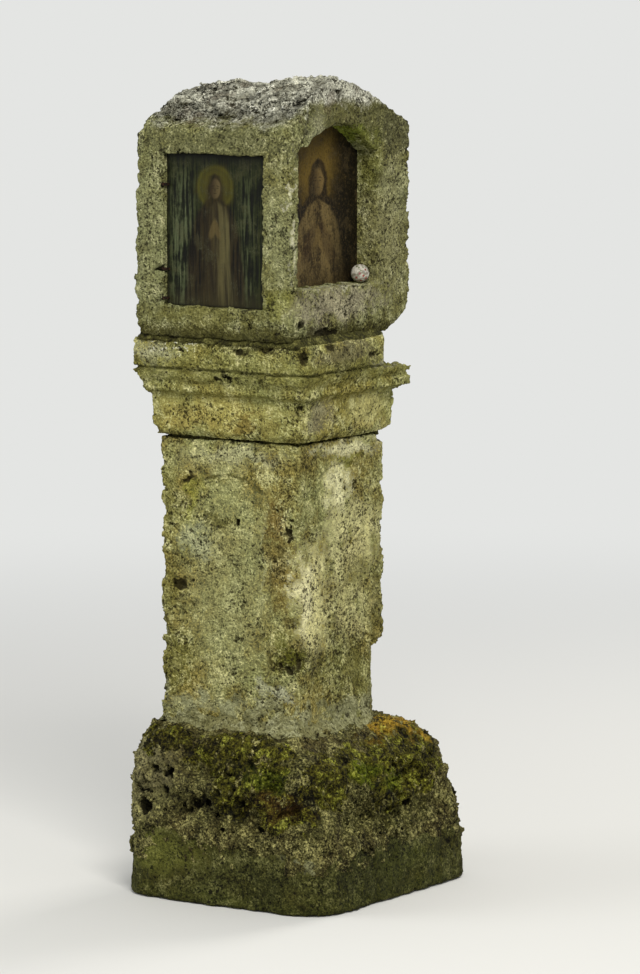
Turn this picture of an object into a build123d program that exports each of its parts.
"""A wayside shrine of porous stone: a moulded pillar that carries a picture house.

Millimetres, +Z up. X runs along the front, which faces -Y. The origin is on the
ground, at the middle of the shrine's outline. The pillar stands off the middle of
its footing, towards the front left.
"""
import os

from build123d import *

os.makedirs("parts", exist_ok=True)

# Where the pillar's axis stands over the footing
axis_x = -41
axis_y = -51

# Footing, a smooth mass of mortar
footing_width = 618
footing_depth = 717
footing_height = 150
footing_corner = 62
footing_top_inset = 10

# Base stone, a rough boulder-like block, its shoulders worn round
base_width = 590
base_depth = 695
base_height = 265
base_corner = 58
waist_below_top = 70
shoulder_below_top = 20
waist_inset = {"left": 3, "right": 35, "front": 4, "back": 60}
shoulder_inset = {"left": 17, "right": 90, "front": 10, "back": 112}
top_inset = {"left": 33, "right": 105, "front": 20, "back": 150}

# Hollows worn into the base stone's sides, as seen from outside each side: how far right of
# its middle, how high over its foot, half the width, half the height, and the depth. The back
# slopes in too far to have any.
base_hollows = {
    "front": [(-205, 150, 60, 50, 12), (-105, 88, 70, 42, 16), (-40, 190, 62, 42, 10),
              (62, 84, 72, 40, 14), (150, 182, 60, 44, 11), (232, 96, 56, 46, 12)],
    "right": [(-150, 76, 72, 38, 14), (-10, 66, 76, 34, 13), (190, 70, 62, 40, 13)],
    "back": [],
    "left": [(-270, 100, 58, 48, 13), (-140, 168, 70, 44, 12), (-20, 78, 76, 42, 15),
             (110, 166, 66, 46, 12), (228, 84, 68, 44, 15)],
}

# Mortar haunch around the foot of the shaft
shaft_bed = 10
haunch_height = 28
haunch_flare = 22
haunch_top_flare = 4
haunch_loss_x = 61
haunch_loss_y = 90

# Shaft, with a worn arched panel sunk into each side
shaft_width = 408
shaft_depth = 372
shaft_height = 705
shaft_edge = 9
panel_border = 76
panel_sink = 5
panel_foot = 130
front_panel_shift = -9
front_panel_spring = 545
front_panel_rise = 76
side_panel_shift = 7
side_panel_spring = 597
side_panel_rise = 54
shaft_loss_x = 34
shaft_loss_y = 50
shaft_loss_height = 198

# Capital: heights above its bed, with the overhang past the shaft
neck_joint = 9
joint_recess = 9
capital_edge = 6
capital_edge_height = 9
neck_overhang = 15
neck_height = 94
fillet_overhang = 32
fillet_low = 111
fillet_high = 135
ovolo_overhang = 49
ovolo_middle = 149
ovolo_high = 163
groove_overhang = 43
groove_height = 170
fascia_overhang = 54
fascia_low = 192
fascia_high = 231
capital_height = 239
capital_loss_x = 92
capital_loss_y = 136

# Picture house, the stone with two picture recesses and two niches
head_joint = 12
head_width = 466
head_depth = 508
head_height = 448
head_edge = 8
head_loss_x = 62
head_loss_y = 90
head_loss_height = 55

# Painted sheets in the front and back recesses
picture_width = 288
picture_height = 372
picture_thickness = 3
picture_gap = 3
picture_shift = -2
recess_depth = 14

# Niches in the two gable sides, with an arched painted board at the back
niche_width = 347
niche_shift = -57
niche_depth = 65
niche_sill = 122
arch_front_step = 25
arch_back_step = 5
arch_rise = 64
board_thickness = 5
board_gap = 2

# Roof stone, a worn gable with its ridge along X, off the middle
roof_joint = 4
roof_height = 187
roof_edge_height = 64
ridge_y = -66
ridge_round = 30
ridge_round_drop = 8
front_knee_in = 45
front_knee_rise = 46
front_belly_in = 104
front_belly_rise = 87
back_knee_in = 107
back_knee_height = 112

# How far the roof stone is worn down at places from its left end to its right end: the share
# of its length, then the drops of the eaves, the front slope, the ridge and the back slope
roof_wear = [
    (0.0, 18, 36, 51, 40), (0.12, 15, 22, 31, 24), (0.27, 12, 34, 23, 14), (0.41, 14, 15, 17, 28),
    (0.57, 10, 30, 25, 14), (0.70, 13, 14, 7, 27), (0.85, 7, 20, 2, 10), (1.0, 0, 3, 0, 5),
]

# Hollows worn into the roof stone: how far right of its middle and behind it, how high over its
# foot, and half the length, depth and height
roof_hollows = [
    (-70, -206, 98, 44, 28, 15), (-45, -214, 88, 26, 22, 14), (72, -196, 116, 62, 24, 10),
    (150, -190, 122, 52, 18, 8), (-135, -180, 118, 32, 22, 10), (20, -72, 170, 36, 22, 11),
    (60, 120, 119, 62, 28, 14), (-100, 60, 126, 44, 34, 15), (110, 190, 92, 54, 26, 14),
    (-60, 186, 84, 50, 28, 15), (236, -51, 130, 16, 18, 24), (-238, 20, 84, 18, 28, 22),
]

# Iron wedges that jam the painted sheets against the far side of their recess
wedge_width = 13
wedge_height = 7
wedge_proud = 1
wedge_heights = (84, 290, 361)

# Painted stone left on the sill of the right niche
pebble_radius = 23
pebble_half_height = 22
pebble_y = 83
pebble_setback = 30

# Levels of the stack
base_z = footing_height
base_top = base_z + base_height
shaft_z = base_top + shaft_bed
shaft_top = shaft_z + shaft_height
capital_z = shaft_top + neck_joint
capital_top = capital_z + capital_height
head_z = capital_top + head_joint
head_top = head_z + head_height
roof_z = head_top + roof_joint
roof_top = roof_z + roof_height

half_x = head_width / 2
half_y = head_depth / 2
sill_z = head_z + niche_sill
niche_front = niche_shift - niche_width / 2
niche_back = niche_shift + niche_width / 2
pillar = Pos(axis_x, axis_y, 0)
beyond = 60


def octagon(z, left, right, front, back, corner):
    """A level face: a rectangle with its four corners cut off."""
    points = [
        (left + corner, front), (right - corner, front), (right, front + corner),
        (right, back - corner), (right - corner, back), (left + corner, back),
        (left, back - corner), (left, front + corner),
    ]
    return Pos(0, 0, z) * make_face(Polyline(*points, close=True))


def inset_octagon(z, width, depth, inset, corner):
    """A centred octagon, drawn in by its own amount on each of four sides."""
    return octagon(z, inset["left"] - width / 2, width / 2 - inset["right"],
                   inset["front"] - depth / 2, depth / 2 - inset["back"], corner)


def centred_octagon(z, width, depth, corner):
    return octagon(z, -width / 2, width / 2, -depth / 2, depth / 2, corner)


def dressed_block(width, depth, height, z, edge):
    """A squared stone with its upright edges worn off."""
    stone = Pos(0, 0, z) * Box(width, depth, height, align=(Align.CENTER, Align.CENTER, Align.MIN))
    return chamfer(stone.edges().filter_by(Axis.Z), edge)


def corner_break(x, y, leg_x, leg_y, z_low, z_high):
    """The wedge that has split off the right-hand back corner of a stone."""
    points = [
        (x - leg_x, y), (x, y - leg_y), (x + beyond, y - leg_y),
        (x + beyond, y + beyond), (x - leg_x, y + beyond),
    ]
    return Pos(0, 0, z_low) * extrude(make_face(Polyline(*points, close=True)), z_high - z_low)


def upright_box(x_low, x_high, y_low, y_high, z_low, z_high):
    size = (x_high - x_low, y_high - y_low, z_high - z_low)
    return Pos(x_low, y_low, z_low) * Box(*size, align=(Align.MIN, Align.MIN, Align.MIN))


def turned(solid, quarter_turns):
    """The solid turned about the upright axis of what it belongs to."""
    return Rot(0, 0, 90 * quarter_turns) * solid


def footing():
    low = centred_octagon(0, footing_width, footing_depth, footing_corner)
    high = centred_octagon(footing_height, footing_width - 2 * footing_top_inset,
                           footing_depth - 2 * footing_top_inset, footing_corner)
    return loft([low, high], ruled=True)


def worn_hollow(face_distance, along, height, half_width, half_height, depth):
    """A bowl-shaped hollow of the base stone, as the space it takes, for the side facing -Y."""
    bowl = scale(Sphere(1), by=(half_width, 2 * depth, half_height))
    return Pos(along, -face_distance - depth, base_z + height) * bowl


def base_block():
    level = {"left": 0, "right": 0, "front": 0, "back": 0}
    sections = [
        (base_z, level), (base_top - waist_below_top, waist_inset),
        (base_top - shoulder_below_top, shoulder_inset), (base_top, top_inset),
    ]
    faces = [inset_octagon(z, base_width, base_depth, inset, base_corner) for z, inset in sections]
    stone = loft(faces, ruled=True)
    for quarter, (side, hollows) in enumerate(base_hollows.items()):
        distance = (base_width if side in ("left", "right") else base_depth) / 2
        for hollow in hollows:
            stone -= turned(worn_hollow(distance, *hollow), quarter)
    return stone


def shaft_body():
    return dressed_block(shaft_width, shaft_depth, shaft_height, shaft_z, shaft_edge)


def arched_panel(face_width, face_distance, shift, spring_height, rise):
    """The sunk panel of one side under a flat arch, as the space it takes, for the side facing -Y."""
    half = face_width / 2 - panel_border
    foot = shaft_z + panel_foot
    spring = shaft_z + spring_height
    outline = Polyline((shift - half, spring), (shift - half, foot), (shift + half, foot),
                       (shift + half, spring))
    arch = EllipticalCenterArc((shift, spring), half, rise, start_angle=0, arc_size=180)
    face = Plane.XZ * make_face(outline + arch)
    return Pos(0, panel_sink - face_distance, 0) * extrude(face, panel_sink + beyond)


def shaft():
    front = arched_panel(shaft_width, shaft_depth / 2, front_panel_shift, front_panel_spring, front_panel_rise)
    side = arched_panel(shaft_depth, shaft_width / 2, side_panel_shift, side_panel_spring, side_panel_rise)
    stone = shaft_body()
    for quarter in (0, 2):
        stone -= turned(front, quarter)
        stone -= turned(side, quarter + 1)
    stone -= corner_break(shaft_width / 2, shaft_depth / 2, shaft_loss_x, shaft_loss_y,
                          shaft_z, shaft_z + shaft_loss_height)
    return pillar * stone


def foot_haunch():
    """The mortar under and around the foot of the shaft, which follows its broken corner."""
    low = centred_octagon(base_top, shaft_width + 2 * haunch_flare,
                          shaft_depth + 2 * haunch_flare, haunch_flare)
    high = centred_octagon(base_top + haunch_height, shaft_width + 2 * haunch_top_flare,
                           shaft_depth + 2 * haunch_top_flare, shaft_edge)
    mortar = loft([low, high], ruled=True)
    mortar -= corner_break(shaft_width / 2 + haunch_flare, shaft_depth / 2 + haunch_flare,
                           haunch_loss_x, haunch_loss_y, base_top, base_top + haunch_height)
    return pillar * mortar - shaft()


def mortar_bed(width, depth, z, height):
    """A bed of mortar, weathered back from the faces of the stones it joins."""
    return dressed_block(width - 2 * joint_recess, depth - 2 * joint_recess, height, z, shaft_edge)


def capital_profile(half_width):
    """The upright section of the moulding, mirrored about the middle."""
    steps = [
        (0, capital_edge), (capital_edge_height, neck_overhang), (neck_height, neck_overhang),
        (fillet_low, fillet_overhang), (fillet_high, fillet_overhang),
        (ovolo_middle, (fillet_overhang + 3 * ovolo_overhang) / 4), (ovolo_high, ovolo_overhang),
        (groove_height, groove_overhang), (fascia_low, fascia_overhang),
        (fascia_high, fascia_overhang), (capital_height, fascia_overhang - capital_edge),
    ]
    right = [(half_width + overhang, capital_z + height) for height, overhang in steps]
    left = [(-x, z) for x, z in reversed(right)]
    return make_face(Polyline(*right, *left, close=True))


def capital():
    reach = max(shaft_width, shaft_depth) / 2 + fascia_overhang + beyond
    along_y = extrude(Plane.XZ * capital_profile(shaft_width / 2), reach, both=True)
    along_x = extrude(Plane.YZ * capital_profile(shaft_depth / 2), reach, both=True)
    stone = along_y & along_x
    stone -= corner_break(shaft_width / 2 + fascia_overhang, shaft_depth / 2 + fascia_overhang,
                          capital_loss_x, capital_loss_y, capital_z + groove_height,
                          capital_top + beyond)
    return pillar * stone


def head_bed():
    """The mortar between the capital and the picture house, as wide as both let it be."""
    ledge = 2 * (fascia_overhang - capital_edge)
    width = min(head_width, shaft_width + ledge)
    depth = min(head_depth, shaft_depth + ledge)
    return pillar * mortar_bed(width, depth, capital_top, head_joint)


def picture_recess():
    """The space of the front recess, open at the top, where the roof stone closes it."""
    left = picture_shift - picture_width / 2 - picture_gap
    right = picture_shift + picture_width / 2 + picture_gap
    foot = head_top - picture_height - picture_gap
    return upright_box(left, right, -half_y - beyond, recess_depth - half_y, foot, head_top + beyond)


def niche_space():
    """The space of the right niche, below the springing of its arch."""
    return upright_box(half_x - niche_depth, half_x + beyond, niche_front, niche_back,
                       sill_z, head_top + beyond)


def underside_break():
    """The split under the right-hand back corner of the picture house."""
    points = [
        (half_x - head_loss_x, half_y), (half_x, half_y - head_loss_y),
        (half_x + beyond, half_y - head_loss_y), (half_x + beyond, half_y + beyond),
        (half_x - head_loss_x, half_y + beyond),
    ]
    face = make_face(Polyline(*points, close=True))
    low = Pos(0, 0, head_z) * face
    high = Pos(head_loss_x, head_loss_y, head_z + head_loss_height) * face
    return loft([low, high], ruled=True)


def head_block():
    stone = dressed_block(head_width, head_depth, head_height, head_z, head_edge)
    stone -= picture_recess()
    stone -= turned(picture_recess(), 2)
    stone -= niche_space()
    stone -= mirror(niche_space(), Plane.YZ)
    stone -= underside_break()
    return pillar * stone


def roof_bed():
    bed = mortar_bed(head_width, head_depth, head_top, roof_joint)
    bed -= picture_recess()
    bed -= turned(picture_recess(), 2)
    bed -= niche_space()
    bed -= mirror(niche_space(), Plane.YZ)
    return pillar * bed


def roof_section(share, eave_drop, front_drop, ridge_drop, back_drop):
    """The gable's outline at one share of the ridge's length, worn down by four drops."""
    x = head_width * (share - 0.5)
    edge = roof_z + roof_edge_height
    eave = edge - eave_drop
    ridge = roof_top - ridge_drop
    belly_drop = (front_drop + ridge_drop) / 2
    points = [
        (-half_y, roof_z), (-half_y, eave),
        (front_knee_in - half_y, edge + front_knee_rise - front_drop),
        (front_belly_in - half_y, edge + front_belly_rise - belly_drop),
        (ridge_y, ridge), (ridge_y + ridge_round, ridge - ridge_round_drop),
        (half_y - back_knee_in, roof_z + back_knee_height - back_drop),
        (half_y, eave), (half_y, roof_z),
    ]
    return Pos(x, 0, 0) * (Plane.YZ * make_face(Polyline(*points, close=True)))


def arch_outline(gap):
    """The niche's arch over the springing, drawn in by a gap, as edges in the YZ plane."""
    front = niche_front + arch_front_step + gap
    back = niche_back - arch_back_step - gap
    middle = (front + back) / 2
    return front, back, ThreePointArc((front, roof_z), (middle, roof_z + arch_rise - gap), (back, roof_z))


def arch_space():
    front, back, arc = arch_outline(0)
    foot = roof_z - roof_joint
    legs = Polyline((back, roof_z), (back, foot), (front, foot), (front, roof_z))
    face = Pos(half_x - niche_depth, 0, 0) * (Plane.YZ * make_face(arc + legs))
    return extrude(face, niche_depth + beyond)


def roof_block():
    stone = loft([roof_section(*wear) for wear in roof_wear], ruled=True)
    for x, y, height, half_length, half_depth, half_height in roof_hollows:
        stone -= Pos(x, y, roof_z + height) * scale(Sphere(1), by=(half_length, half_depth, half_height))
    stone -= arch_space()
    stone -= mirror(arch_space(), Plane.YZ)
    return pillar * stone


def painted_sheet():
    """The sheet in the front recess, standing on the recess's sill."""
    foot = head_top - picture_height - picture_gap
    left = picture_shift - picture_width / 2
    back = recess_depth - half_y
    return upright_box(left, left + picture_width, back - picture_thickness, back,
                       foot, foot + picture_height)


def niche_board():
    """The arched board at the back of the right niche, standing on its sill."""
    front, back, arc = arch_outline(board_gap)
    low, high = niche_front + board_gap, niche_back - board_gap
    shoulder = head_top - board_gap
    legs = Polyline((back, roof_z), (back, shoulder), (high, shoulder), (high, sill_z),
                    (low, sill_z), (low, shoulder), (front, shoulder), (front, roof_z))
    face = Pos(half_x - niche_depth, 0, 0) * (Plane.YZ * make_face(arc + legs))
    return extrude(face, board_thickness)


def wedge(height):
    """One iron wedge between the left edge of the front recess and the sheet's face."""
    edge = picture_shift - picture_width / 2 - picture_gap
    sheet_face = recess_depth - half_y - picture_thickness
    z = head_top - height
    return upright_box(edge, edge + wedge_width, -half_y - wedge_proud, sheet_face,
                       z, z + wedge_height)


def votive_stone():
    stone = scale(Sphere(pebble_radius), by=(1, 1, pebble_half_height / pebble_radius))
    return pillar * Pos(half_x - pebble_setback, pebble_y, sill_z + pebble_half_height) * stone


def shrine():
    """Every piece by the name of its file."""
    pieces = {
        "footing": footing(),
        "base_block": base_block(),
        "foot_haunch": foot_haunch(),
        "shaft": shaft(),
        "neck_bed": pillar * mortar_bed(shaft_width, shaft_depth, shaft_top, neck_joint),
        "capital": capital(),
        "head_bed": head_bed(),
        "head_block": head_block(),
        "roof_bed": roof_bed(),
        "roof_block": roof_block(),
        "front_picture": pillar * painted_sheet(),
        "back_picture": pillar * turned(painted_sheet(), 2),
        "right_niche_board": pillar * niche_board(),
        "left_niche_board": pillar * mirror(niche_board(), Plane.YZ),
        "votive_stone": votive_stone(),
    }
    for number, height in enumerate(wedge_heights, 1):
        pieces[f"front_wedge_{number}"] = pillar * wedge(height)
        pieces[f"back_wedge_{number}"] = pillar * turned(wedge(height), 2)
    return pieces


for name, piece in shrine().items():
    export_step(piece, f"parts/{name}.step")
